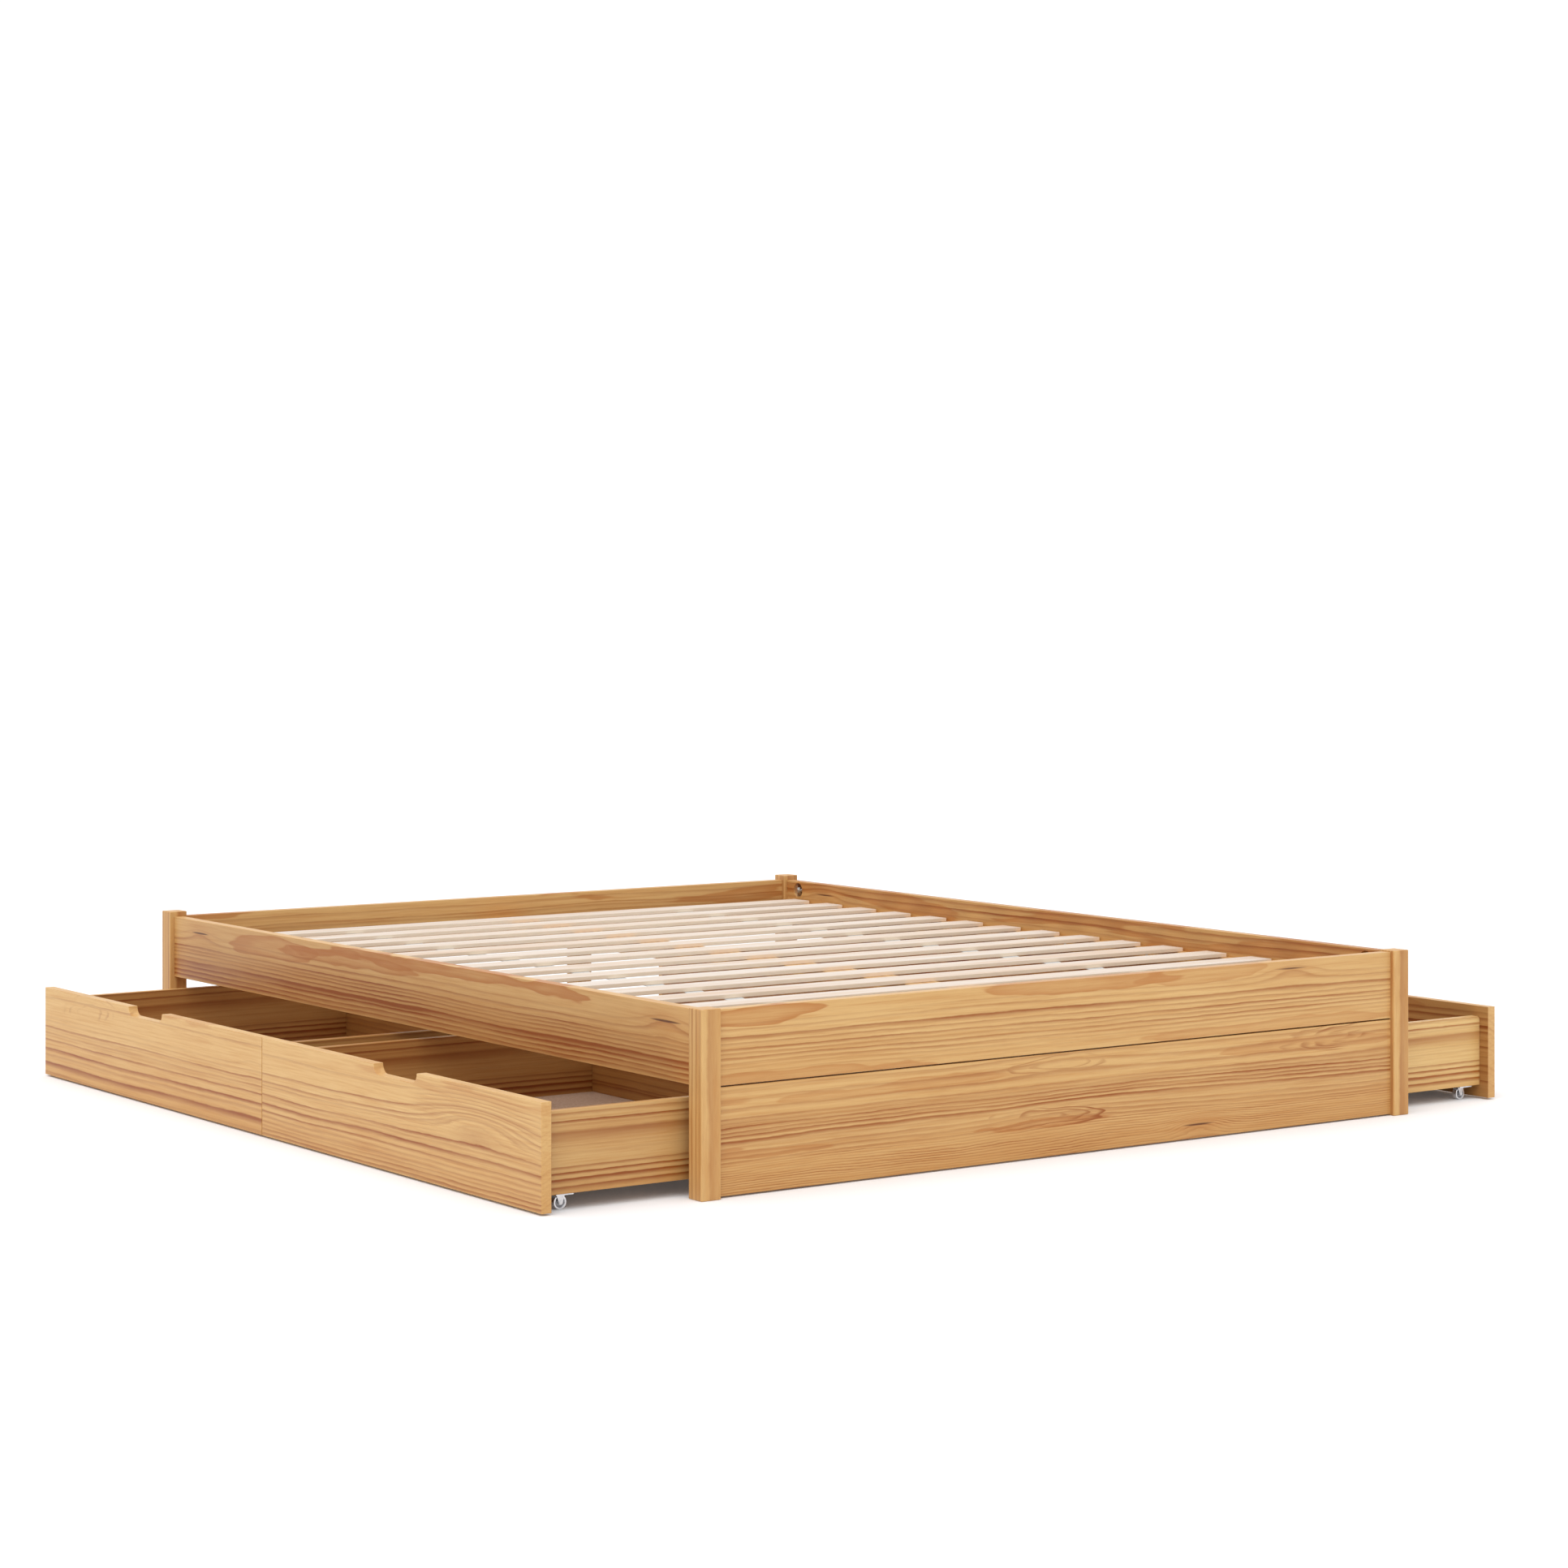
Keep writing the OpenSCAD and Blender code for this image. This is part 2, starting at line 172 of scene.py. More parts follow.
def line_ramps(g, t, lines, height, lo=0.0):
    """Lines across the board as colour ramps, each line sharp on one side and soft on the other."""
    total = None
    lines = sorted(lines)
    span = height - lo
    for n in range(0, len(lines), 7):
        stops = [(0.0, 0.0)]
        for v, s, w in lines[n:n + 7]:
            c = (v - lo) / span
            up, dn = w * 0.8 / span, w * 2.3 / span
            for p, q in ((c - up, 0.0), (c - up * 0.25, s), (c + up * 0.35, s * 0.8), (c + dn, 0.0)):
                stops.append((max(p, stops[-1][0] + 2e-4), q))
        stops = [(p, q) for p, q in stops if p < 0.9995] + [(1.0, 0.0)]
        r = g.ramp(t, [(p, (q, q, q)) for p, q in stops])
        total = r if total is None else g.math("MAXIMUM", total, r)
    return total


def curve(g, t, stops):
    return g.ramp(t, [(p, (q, q, q)) for p, q in stops], "EASE")


def pine(name, along, across, through, lines, height, seed, fine=(), tone=((0, 0.25), (1, 0.5)), patches=((0, 0.0), (1, 0.0)),
         eyes=(), knots=(), slope=0.55, warp=1.0, contrast=1.0, tones=TONES, rough=0.44, patch_level=0.60, fade=0.55, inside_shade=None, arcs=(), loops=(), blobs=()):
    """A board of pine. along, across and through are (axis, sign, origin): x runs along the grain, v across the face, w into it."""
    m, g, bsdf, obj = plain_material(name)
    light, mid, amber, line, patch_c, knot_c = tones
    c = g.sep(obj)
    x, v, w = (g.math("MULTIPLY_ADD", c["xyz".index(ax)], sg, -sg * at) for ax, sg, at in (along, across, through))

    def at(fx, fv, fw=None):
        return g.comb(g.math("MULTIPLY", x, fx), g.math("MULTIPLY", v, fv), g.math("MULTIPLY", w, fw if fw is not None else fv * 0.22))

    n1 = g.math("SUBTRACT", g.noise(at(1.5, 7.0), 1.0, 1.0, 0.4, w=seed), 0.5)
    n2 = g.math("SUBTRACT", g.noise(at(6.0, 34.0), 1.0, 2.0, 0.5, w=seed + 7.3), 0.5)
    n3 = g.math("SUBTRACT", g.noise(at(34.0, 190.0), 1.0, 2.0, 0.55, w=seed + 3.1), 0.5)
    f = g.math("MULTIPLY_ADD", w, slope, v)
    f = g.math("MULTIPLY_ADD", n1, 0.026 * warp, f)
    f = g.math("MULTIPLY_ADD", n2, 0.0075 * warp, f)
    f = g.math("MULTIPLY_ADD", n3, 0.0024, f)

    cores, halos = [], []
    pos = g.comb(x, v, 0.0)
    for kx, kv, ka, kb, amount in eyes:
        d = g.vmath("DIVIDE", g.vmath("SUBTRACT", pos, (kx, kv, 0)), (ka, kb, 1))
        d2 = g.vmath("DOT_PRODUCT", d, d)
        f = g.math("MULTIPLY_ADD", g.math("EXPONENT", g.math("MULTIPLY", d2, -1.0)), amount, f)
    for kx, kv, ks in knots:
        d = g.vmath("DIVIDE", g.vmath("SUBTRACT", pos, (kx, kv, 0)), (ks * 1.9, ks * 0.55, 1))
        d2 = g.vmath("DOT_PRODUCT", d, d)
        bump = g.math("EXPONENT", g.math("MULTIPLY", d2, -1.0))
        f = g.math("MULTIPLY_ADD", bump, ks * 0.45, f)
        halos.append(bump)
        e = g.vmath("DIVIDE", g.vmath("SUBTRACT", pos, (kx, kv, 0)), (ks * 1.05, ks * 0.052, 1))
        e2 = g.math("ADD", g.vmath("DOT_PRODUCT", e, e), g.math("MULTIPLY", n2, 3.0))
        cores.append(g.step(e2, 0.1, 1.5, 1.0, 0.0))
    t = g.math("DIVIDE", g.math("ADD", f, 0.03), height + 0.06)
    tn = g.math("DIVIDE", f, height)

    late = line_ramps(g, t, lines, height + 0.03, -0.03)
    sway = g.noise(at(2.6, 26.0), 1.0, 2.0, 0.5, w=seed + 11.0)
    late = g.math("MULTIPLY", late, g.step(sway, 0.30, 0.66, 1.0 - fade, 1.1, kind="LINEAR"))
    for pitch, level, zone in fine:
        fr = g.math("FRACT", g.math("DIVIDE", g.math("MULTIPLY_ADD", n2, 0.002, f), pitch))
        saw = g.math("MULTIPLY", g.math("POWER", fr, 2.4), g.math("SUBTRACT", 1.0, g.step(fr, 0.88, 1.0)))
        zr = curve(g, tn, zone)
        sw = g.step(g.noise(at(3.0, 60.0), 1.0, 1.0, 0.5, w=seed + 17.0), 0.35, 0.65, 0.35, 1.0)
        late = g.math("MAXIMUM", late, g.math("MULTIPLY", g.math("MULTIPLY", saw, zr), g.math("MULTIPLY", sw, level)))

    for pitch, level, kx, kv, ka, kb in arcs:
        d = g.vmath("DIVIDE", g.vmath("SUBTRACT", pos, (kx, kv, 0)), (ka, kb, 1))
        zone = g.step(g.vmath("DOT_PRODUCT", d, d), 0.35, 1.0, 1.0, 0.0)
        fr = g.math("FRACT", g.math("DIVIDE", g.math("MULTIPLY_ADD", n2, 0.003, f), pitch))
        saw = g.math("MULTIPLY", g.math("POWER", fr, 2.0), g.math("SUBTRACT", 1.0, g.step(fr, 0.86, 1.0)))
        late = g.math("MAXIMUM", late, g.math("MULTIPLY", g.math("MULTIPLY", saw, zone), level))

    for kx, kv, ka, kb, level, rings in loops:
        # closed figure round a dip in the rings
        d = g.vmath("DIVIDE", g.vmath("SUBTRACT", pos, (kx, kv, 0)), (ka, kb, 1))
        e = g.math("ADD", g.vmath("LENGTH", d), g.math("MULTIPLY_ADD", n1, 0.9, g.math("MULTIPLY", n2, 1.5)))
        gone = g.step(g.noise(at(4.5, 30.0), 1.0, 1.0, 0.5, w=seed + 61.0 + kx), 0.42, 0.60)
        for at_e, part in rings:
            off = g.math("SUBTRACT", e, at_e)
            line_in = g.math("MULTIPLY", g.step(off, -0.16, 0.0), g.math("SUBTRACT", 1.0, g.step(off, 0.0, 0.05)))
            late = g.math("MAXIMUM", late, g.math("MULTIPLY", g.math("MULTIPLY", line_in, gone), level * part))

    fibre = g.noise(at(6.0, 240.0), 1.0, 3.0, 0.6, w=seed)
    fine_n = g.noise(at(26.0, 1100.0), 1.0, 2.0, 0.6, w=seed + 1.0)
    broad = g.noise(at(2.2, 20.0), 1.0, 2.0, 0.5, w=seed + 30.0)
    tn_v = curve(g, tn, tone)
    tone_v = g.math("ADD", tn_v, g.math("MULTIPLY", g.math("SUBTRACT", broad, 0.5), 0.9), clamp=True)
    base = g.mix(tone_v, (*light, 1), (*mid, 1))
    base = g.mix(g.math("MULTIPLY", g.step(fibre, 0.40, 0.70), 0.42), base, (*amber, 1))
    pn = g.noise(at(2.3, 22.0), 1.0, 3.0, 0.5, 0.25, w=seed + 40.0)
    pm = curve(g, tn, patches)
    edge = g.step(g.math("MULTIPLY_ADD", pm, 0.14, pn), 0.595, 0.625)
    inner = g.math("SUBTRACT", 1.0, g.math("MULTIPLY", g.step(g.math("MULTIPLY_ADD", pm, 0.14, pn), 0.63, 0.78), 0.55))
    pv = g.math("MULTIPLY", g.math("MULTIPLY", edge, inner), g.math("MULTIPLY", g.step(pm, 0.02, 0.2), patch_level))
    base = g.mix(pv, base, (*patch_c, 1))
    for kx, kv, ka, kb, level in blobs:
        d = g.vmath("DIVIDE", g.vmath("SUBTRACT", pos, (kx, kv, 0)), (ka, kb, 1))
        e = g.math("ADD", g.vmath("LENGTH", d), g.math("MULTIPLY_ADD", g.math("SUBTRACT", pn, 0.5), 3.4, g.math("MULTIPLY_ADD", n2, 2.0, g.math("MULTIPLY", n1, 1.2))))
        rim = g.math("SUBTRACT", 1.0, g.step(e, 0.88, 1.02))
        body = g.math("MULTIPLY", rim, g.step(e, 0.1, 0.95, 0.45, 1.0))
        base = g.mix(g.math("MULTIPLY", body, level), base, (*patch_c, 1))
    geo = g.new("ShaderNodeNewGeometry")
    n_along = g.math("ABSOLUTE", g.sep(geo.outputs["Normal"])["xyz".index(along[0])])
    end_grain = g.step(n_along, 0.6, 0.85)
    late = g.math("MULTIPLY", late, g.math("MULTIPLY_ADD", end_grain, -0.78, 1.0))
    base = g.mix(g.math("MULTIPLY", end_grain, 0.25), base, (*mid, 1))
    k = g.math("MULTIPLY", late, contrast * 1.35, clamp=True)
    col = g.mix(k, base, (*line, 1))
    col = g.mix(g.math("MULTIPLY", g.step(fine_n, 0.45, 0.75), 0.13), col, (*line, 1))
    pores = g.step(g.noise(at(55.0, 1000.0), 1.0, 1.0, 0.5, w=seed + 5.0), 0.73, 0.79)
    col = g.mix(g.math("MULTIPLY", pores, 0.22), col, (*line, 1))
    for h in halos:
        col = g.mix(g.math("MULTIPLY", h, 0.28), col, (*patch_c, 1))
    for h in cores:
        col = g.mix(g.math("MULTIPLY", h, 0.9), col, (*knot_c, 1))
    if inside_shade is not None:
        # the faces turned to the inside of a drawer get painted shade: their colour is multiplied by a darker brown
        shaded_inside = g.mix(1.0, col, (*INSIDE_SHADE, 1), "MULTIPLY")
        lo, hi = inside_shade
        col = g.mix(g.step(w, lo, hi), col, shaded_inside) if lo < hi else shaded_inside
    g.put(bsdf.inputs["Base Color"], col)
    rg = g.math("MULTIPLY_ADD", fibre, 0.14, rough - 0.07)
    g.put(bsdf.inputs["Roughness"], g.math("MULTIPLY_ADD", k, -0.05, rg))
    h = g.math("MULTIPLY_ADD", k, 0.4, g.math("MULTIPLY_ADD", fine_n, 0.35, g.math("MULTIPLY", fibre, 0.5)))
    b = g.new("ShaderNodeBump")
    b.inputs["Strength"].default_value = 0.18
    b.inputs["Distance"].default_value = 0.0005
    g.put(b.inputs["Height"], h)
    g.put(bsdf.inputs["Normal"], b.outputs[0])
    bsdf.inputs["Specular IOR Level"].default_value = 0.34
    return m


def plain_material(name):
    m = bpy.data.materials.new(name)
    m.use_nodes = True
    t = m.node_tree
    t.nodes.clear()
    g = Graph(t)
    out = g.new("ShaderNodeOutputMaterial")
    bsdf = g.new("ShaderNodeBsdfPrincipled")
    t.links.new(bsdf.outputs[0], out.inputs[0])
    tc = g.new("ShaderNodeTexCoord")
    return m, g, bsdf, tc.outputs["Object"]


# ---------------------------------------------------------------- other materials
def metal(name, tint, rough=0.3, scratch=(1, 1, 1)):
    m, g, b, P = plain_material(name)
    s = g.new("ShaderNodeMapping")
    g.put(s.inputs[0], P)
    s.inputs["Scale"].default_value = scratch
    n = g.noise(s.outputs[0], 900.0, 3.0, 0.6)
    spots = g.noise(P, 160.0, 3.0, 0.6)
    col = g.mix(g.step(n, 0.3, 0.7), (*[c * 0.82 for c in tint], 1), (*tint, 1))
    col = g.mix(g.math("MULTIPLY", g.step(spots, 0.55, 0.75), 0.25), col, (*[c * 0.55 for c in tint], 1))
    g.put(b.inputs["Base Color"], col)
    g.put(b.inputs["Roughness"], g.step(n, 0.25, 0.75, rough - 0.07, rough + 0.12, kind="LINEAR"))
    b.inputs["Metallic"].default_value = 1.0
    bump = g.new("ShaderNodeBump")
    bump.inputs["Strength"].default_value = 0.15
    bump.inputs["Distance"].default_value = 0.0001
    g.put(bump.inputs["Height"], n)
    g.put(b.inputs["Normal"], bump.outputs[0])
    return m


def wheel_material(name, xc):
    """Turned steel wheel: a bright rim and hub, with painted shade in the recessed groove between them."""
    m = metal(name, lin(244, 244, 246), 0.24)
    g = Graph(m.node_tree)
    g.n = 40
    bsdf = next(n for n in m.node_tree.nodes if n.type == "BSDF_PRINCIPLED")
    tc = next(n for n in m.node_tree.nodes if n.type == "TEX_COORD")
    x, y, z = g.sep(tc.outputs["Object"])
    dx, dz = g.math("SUBTRACT", x, xc), g.math("SUBTRACT", z, 0.012)
    r = g.math("SQRT", g.math("ADD", g.math("MULTIPLY", dx, dx), g.math("MULTIPLY", dz, dz)))
    # painted shade: the recessed groove between rim and hub is darkened
    groove_shade = g.math("MULTIPLY", g.step(r, 0.0042, 0.0050), g.math("SUBTRACT", 1.0, g.step(r, 0.0088, 0.0098)))
    old = bsdf.inputs["Base Color"].links[0].from_socket
    g.put(bsdf.inputs["Base Color"], g.mix(g.math("MULTIPLY", groove_shade, 0.85), old, (*lin(92, 92, 96), 1)))
    return m


def slat_material():
    m, g, b, P = plain_material("pale_slats")
    x, y, z = g.sep(P)
    # each slat gets its own tone and grain
    idx = g.math("FLOOR", g.math("DIVIDE", g.math("ADD", y, 0.0673 + 1.346), 0.1346))
    tone = g.white(g.math("ADD", idx, 4.0))
    off = g.math("MULTIPLY", idx, 3.7)
    f = g.comb(g.math("MULTIPLY", x, 3.0), g.math("MULTIPLY", y, 70.0), g.math("MULTIPLY", z, 70.0))
    band = g.noise(f, 1.0, 3.0, 0.55, w=off)
    f2 = g.comb(g.math("MULTIPLY", x, 14.0), g.math("MULTIPLY", y, 700.0), g.math("MULTIPLY", z, 700.0))
    fine = g.noise(f2, 1.0, 3.0, 0.6, w=off)
    f3 = g.comb(g.math("MULTIPLY", x, 1.3), g.math("MULTIPLY", y, 9.0), g.math("MULTIPLY", z, 9.0))
    cloud = g.noise(f3, 1.0, 2.0, 0.5, w=off)
    col = g.mix(g.step(band, 0.32, 0.7), (*lin(222, 212, 202), 1), (*lin(214, 194, 174), 1))
    col = g.mix(g.math("MULTIPLY", g.step(cloud, 0.5, 0.72), 0.5), col, (*lin(208, 172, 140), 1))
    col = g.mix(g.math("MULTIPLY", g.step(fine, 0.5, 0.8), 0.22), col, (*lin(176, 136, 102), 1))
    col = g.mix(g.math("MULTIPLY", tone, 0.28), col, (*lin(216, 194, 172), 1))
    dash = g.comb(g.math("MULTIPLY", x, 40.0), g.math("MULTIPLY", y, 420.0), g.math("MULTIPLY", z, 420.0))
    pores = g.step(g.noise(dash, 1.0, 1.0, 0.5, w=off), 0.72, 0.8)
    col = g.mix(g.math("MULTIPLY", pores, 0.35), col, (*lin(146, 100, 68), 1))
    geo = g.new("ShaderNodeNewGeometry")
    nz = g.math("ABSOLUTE", g.sep(geo.outputs["Normal"])[2])
    # painted light: the side faces of the slats are mixed towards a pale colour so they look brighter
    painted_side_light = g.mix(0.72, col, (*lin(250, 232, 206), 1))
    col = g.mix(g.step(nz, 0.4, 0.8), painted_side_light, col)
    g.put(b.inputs["Base Color"], col)
    g.put(b.inputs["Roughness"], g.step(fine, 0.2, 0.8, 0.55, 0.72, kind="LINEAR"))
    b.inputs["Specular IOR Level"].default_value = 0.3
    bump = g.new("ShaderNodeBump")
    bump.inputs["Strength"].default_value = 0.2
    bump.inputs["Distance"].default_value = 0.0003
    g.put(bump.inputs["Height"], g.math("ADD", fine, g.math("MULTIPLY", band, 0.6)))
    g.put(b.inputs["Normal"], bump.outputs[0])
    return m


def board_material():
    """Matt brown fibreboard of the drawer bottoms."""
    m, g, b, P = plain_material("fibreboard")
    speck = g.noise(P, 900.0, 3.0, 0.7)
    fl = g.comb(g.math("MULTIPLY", g.sep(P)[0], 260.0), g.math("MULTIPLY", g.sep(P)[1], 120.0), 0.0)
    flake = g.noise(fl, 1.0, 3.0, 0.6, 0.3)
    cloud = g.noise(P, 9.0, 3.0, 0.5)
    col = g.mix(g.step(flake, 0.3, 0.7), (*lin(196, 168, 146), 1), (*lin(176, 144, 120), 1))
    col = g.mix(g.math("MULTIPLY", g.step(speck, 0.5, 0.75), 0.35), col, (*lin(142, 110, 88), 1))
    col = g.mix(g.math("MULTIPLY", g.step(cloud, 0.35, 0.7), 0.2), col, (*lin(206, 180, 158), 1))
    g.put(b.inputs["Base Color"], col)
    g.put(b.inputs["Roughness"], g.step(speck, 0.2, 0.8, 0.72, 0.9, kind="LINEAR"))
    b.inputs["Specular IOR Level"].default_value = 0.2
    bump = g.new("ShaderNodeBump")
    bump.inputs["Strength"].default_value = 0.25
    bump.inputs["Distance"].default_value = 0.0002
    g.put(bump.inputs["Height"], g.math("ADD", speck, flake))
    g.put(b.inputs["Normal"], bump.outputs[0])
    return m


def webbing_material():
    m, g, b, P = plain_material("webbing")
    x, y, z = g.sep(P)
    wx = g.math("SINE", g.math("MULTIPLY", x, 2 * math.pi / 0.0016))
    wy = g.math("SINE", g.math("MULTIPLY", y, 2 * math.pi / 0.0022))
    weave = g.math("MULTIPLY", wx, wy)
    n = g.noise(P, 700.0, 2.0, 0.6)
    col = g.mix(g.step(weave, -0.6, 0.7), (*lin(186, 186, 184), 1), (*lin(222, 222, 220), 1))
    col = g.mix(g.math("MULTIPLY", n, 0.25), col, (*lin(170, 170, 168), 1))
    g.put(b.inputs["Base Color"], col)
    g.put(b.inputs["Roughness"], g.step(n, 0.2, 0.8, 0.8, 0.95, kind="LINEAR"))
    b.inputs["Sheen Weight"].default_value = 0.25
    bump = g.new("ShaderNodeBump")
    bump.inputs["Strength"].default_value = 0.5
    bump.inputs["Distance"].default_value = 0.0003
    g.put(bump.inputs["Height"], weave)
    g.put(b.inputs["Normal"], bump.outputs[0])
    return m


STEEL = metal("pressed_steel", lin(232, 232, 234), 0.30)
ZINC = metal("zinc_plate", lin(226, 224, 218), 0.34)
SLAT = slat_material()
BOARD = board_material()


def dress(node, material):
    o = NODES[node]
    o.data.materials.clear()
    o.data.materials.append(material)


# ---------------------------------------------------------------- eased edges
def islands(co, faces):
    """Connected pieces of a mesh whose faces don't share vertices: vertices that lie together are one."""
    keys = {}
    ids = np.empty(len(co), int)
    for n, p in enumerate(np.round(co / 2e-5).astype(int)):
        ids[n] = keys.setdefault(tuple(p), len(keys))
    parent = list(range(len(keys)))

    def find(a):
        while parent[a] != a:
            parent[a] = parent[parent[a]]
            a = parent[a]
        return a

    for f in faces:
        a = find(ids[f[0]])
        for v in f[1:]:
            b = find(ids[v])
            if a != b:
                parent[b] = a
    return np.array([find(k) for k in ids])


def ease(node, width, segments=3, extra=None):
    """Rounds the long outer edges of each board of a node, and leaves its bores sharp."""
    o = NODES[node]
    me = o.data
    co = np.array([v.co for v in me.vertices])
    isl = islands(co, [tuple(p.vertices) for p in me.polygons])
    chosen = []
    for k in np.unique(isl):
        at = np.where(isl == k)[0]
        p = co[at]
        lo, hi = p.min(0), p.max(0)
        on = (np.abs(p - lo) < 5e-5).astype(int) + (np.abs(p - hi) < 5e-5).astype(int)
        take = on.sum(1) >= 2
        if extra is not None:
            take |= extra(p, on)
        chosen += [int(n) for n in at[take]]
    vg = o.vertex_groups.new(name="eased")
    vg.add(chosen, 1.0, "REPLACE")
    w = o.modifiers.new("weld", "WELD")
    w.merge_threshold = 2e-5
    p = o.modifiers.new("flat", "DECIMATE")
    p.decimate_type = "DISSOLVE"
    p.angle_limit = math.radians(0.6)
    b = o.modifiers.new("ease", "BEVEL")
    b.width = width
    b.segments = segments
    b.limit_method = "VGROUP"
    b.vertex_group = "eased"
    b.use_clamp_overlap = False
    b.loop_slide = False
    e = o.modifiers.new("crisp", "EDGE_SPLIT")
    e.split_angle = math.radians(38)
    n = o.modifiers.new("normals", "WEIGHTED_NORMAL")
    n.keep_sharp = True
    n.weight = 50
    for poly in me.polygons:
        poly.use_smooth = True


# ---------------------------------------------------------------- boards and their grain
W1, W2, W3 = 0.0021, 0.0031, 0.0048
dress("foot_rail", pine(
    "pine_foot_rail", ("x", 1, -0.80), ("z", -1, 0.321), ("y", 1, -1.043), height=0.130, seed=9.4,
    lines=[(0.026, 0.20, W1), (0.036, 0.35, W1), (0.050, 0.70, W2), (0.061, 0.45, W1), (0.071, 0.80, W1), (0.079, 0.45, W1),
           (0.087, 0.70, W1), (0.096, 0.55, W1), (0.104, 0.25, W1), (0.113, 0.20, W1)],
    tone=((0, 0.35), (0.25, 0.15), (0.6, 0.25), (1, 0.45)),
    blobs=[(0.05, 0.016, 0.13, 0.015, 0.75), (0.74, 0.008, 0.21, 0.020, 0.6), (1.10, 0.013, 0.11, 0.015, 0.4), (0.18, 0.122, 0.20, 0.013, 0.5), (1.35, 0.120, 0.30, 0.010, 0.4)],
    knots=[(1.335, 0.015, 0.042)], warp=0.9, contrast=0.95, patch_level=0.5))
dress("foot_panel", pine(
    "pine_foot_panel", ("x", 1, -0.80), ("z", -1, 0.1884), ("y", 1, -1.043), height=0.1854, seed=14.2,
    lines=[(0.010, 0.35, W2), (0.027, 0.40, W2), (0.044, 0.45, W2), (0.060, 0.60, W1), (0.067, 0.50, W1), (0.073, 0.85, W1), (0.080, 0.70, W1),
           (0.086, 0.90, W1), (0.094, 0.95, W2), (0.103, 0.30, W2), (0.112, 0.45, W2), (0.121, 0.45, W2), (0.129, 0.55, W1)],
    fine=[(0.0044, 0.95, ((0, 0), (0.66, 0), (0.74, 1), (1, 1))), (0.0060, 0.45, ((0, 0), (0.28, 0), (0.36, 1), (0.52, 1), (0.6, 0), (1, 0)))],
    tone=((0, 0.3), (0.3, 0.35), (0.55, 0.25), (0.7, 0.6), (1, 0.9)),
    blobs=[(0.30, 0.032, 0.34, 0.012, 0.35), (0.72, 0.124, 0.15, 0.011, 0.6), (0.14, 0.118, 0.15, 0.012, 0.45), (1.42, 0.030, 0.16, 0.012, 0.35)],
    eyes=[(0.78, 0.018, 0.16, 0.020, 0.012), (1.62, 0.030, 0.26, 0.030, 0.014), (0.74, 0.112, 0.17, 0.022, 0.008)],
    loops=[(0.73, 0.113, 0.15, 0.021, 0.75, ((0.55, 0.6), (0.82, 0.8), (1.08, 1.0))), (1.66, 0.024, 0.29, 0.026, 0.75, ((0.3, 0.7), (0.52, 0.8), (0.75, 0.9), (0.98, 1.0), (1.2, 0.6))),
           (0.76, 0.020, 0.12, 0.020, 0.40, ((0.6, 0.7), (1.0, 1.0)))],
    knots=[(1.095, 0.160, 0.036)], warp=1.0, contrast=0.95, patch_level=0.5))
dress("side_rail_left", pine(
    "pine_side_rail_left", ("y", -1, 1.013), ("z", -1, 0.321), ("x", 1, -0.830), height=0.130, seed=2.3,
    lines=[(0.034, 0.20, W1), (0.047, 0.50, W1), (0.060, 0.70, W1), (0.067, 0.5, W1), (0.074, 0.65, W1), (0.083, 0.7, W1), (0.093, 1.0, W3),
           (0.103, 0.95, W2), (0.113, 0.8, W2), (0.122, 0.85, W2)],
    tone=((0, 0.5), (0.3, 0.45), (0.5, 0.8), (1, 1.0)),
    blobs=[(0.46, 0.027, 0.12, 0.018, 0.7), (0.90, 0.026, 0.22, 0.013, 0.7), (1.22, 0.012, 0.36, 0.018, 0.8)],
    fine=[(0.0064, 0.28, ((0, 0), (0.38, 0), (0.5, 1), (1, 1)))],
    knots=[(0.127, 0.026, 0.036), (1.94, 0.029, 0.040)], warp=0.7, contrast=1.15, patch_level=0.6))
dress("side_rail_right", pine(
    "pine_side_rail_right", ("y", -1, 1.013), ("z", -1, 0.321), ("x", 1, 0.808), height=0.130, seed=5.1,
    lines=random_lines(random.Random(5), 0.130, 0.011), tone=((0, 0.7), (1, 0.9)), patches=((0, 0.8), (0.5, 0.6), (1, 0.3)),
    knots=[(0.16, 0.026, 0.036)], warp=0.8, contrast=0.85, patch_level=0.6))
dress("head_rail", pine(
    "pine_head_rail", ("x", 1, -0.80), ("z", -1, 0.321), ("y", -1, 1.043), height=0.130, seed=17.7,
    lines=random_lines(random.Random(17), 0.130, 0.013), tone=((0, 0.4), (1, 0.7)), patches=((0, 0.3), (1, 0.2)), warp=0.9, contrast=0.6))
for n, s, px, py in (("post_foot_left", 21.0, -0.84, -1.053), ("post_foot_right", 24.0, 0.80, -1.053),
                     ("post_head_left", 27.0, -0.84, 1.013), ("post_head_right", 30.0, 0.80, 1.013)):
    dress(n, pine("pine_" + n, ("z", 1, 0.0), ("y", 1, py), ("x", 1, px), height=0.060, seed=s, slope=0.30,
                  lines=random_lines(random.Random(int(s)), 0.060, 0.0090), tone=((0, 0.3), (0.1, 0.5), (0.2, 0.8), (0.4, 0.4), (1, 0.6)),
                  warp=0.45, contrast=0.72, fade=0.6))
for n, s, x0, z0 in (("ledger_left", 33.0, -0.788, 0.270), ("ledger_right", 35.0, 0.808, 0.270), ("centre_beam", 37.0, 0.0375, 0.270)):
    dress(n, pine("pine_" + n, ("y", 1, -1.013), ("z", -1, z0), ("x", -1, x0), height=0.060, seed=s,
                  lines=random_lines(random.Random(int(s)), 0.060, 0.009), warp=0.7, contrast=0.6))
dress("beam_cleats", pine("pine_cleats", ("x", 1, -0.10), ("z", -1, 0.266), ("y", 1, -1.021), height=0.060, seed=39.0,
                          lines=random_lines(random.Random(39), 0.060, 0.008), warp=0.5, contrast=0.6))
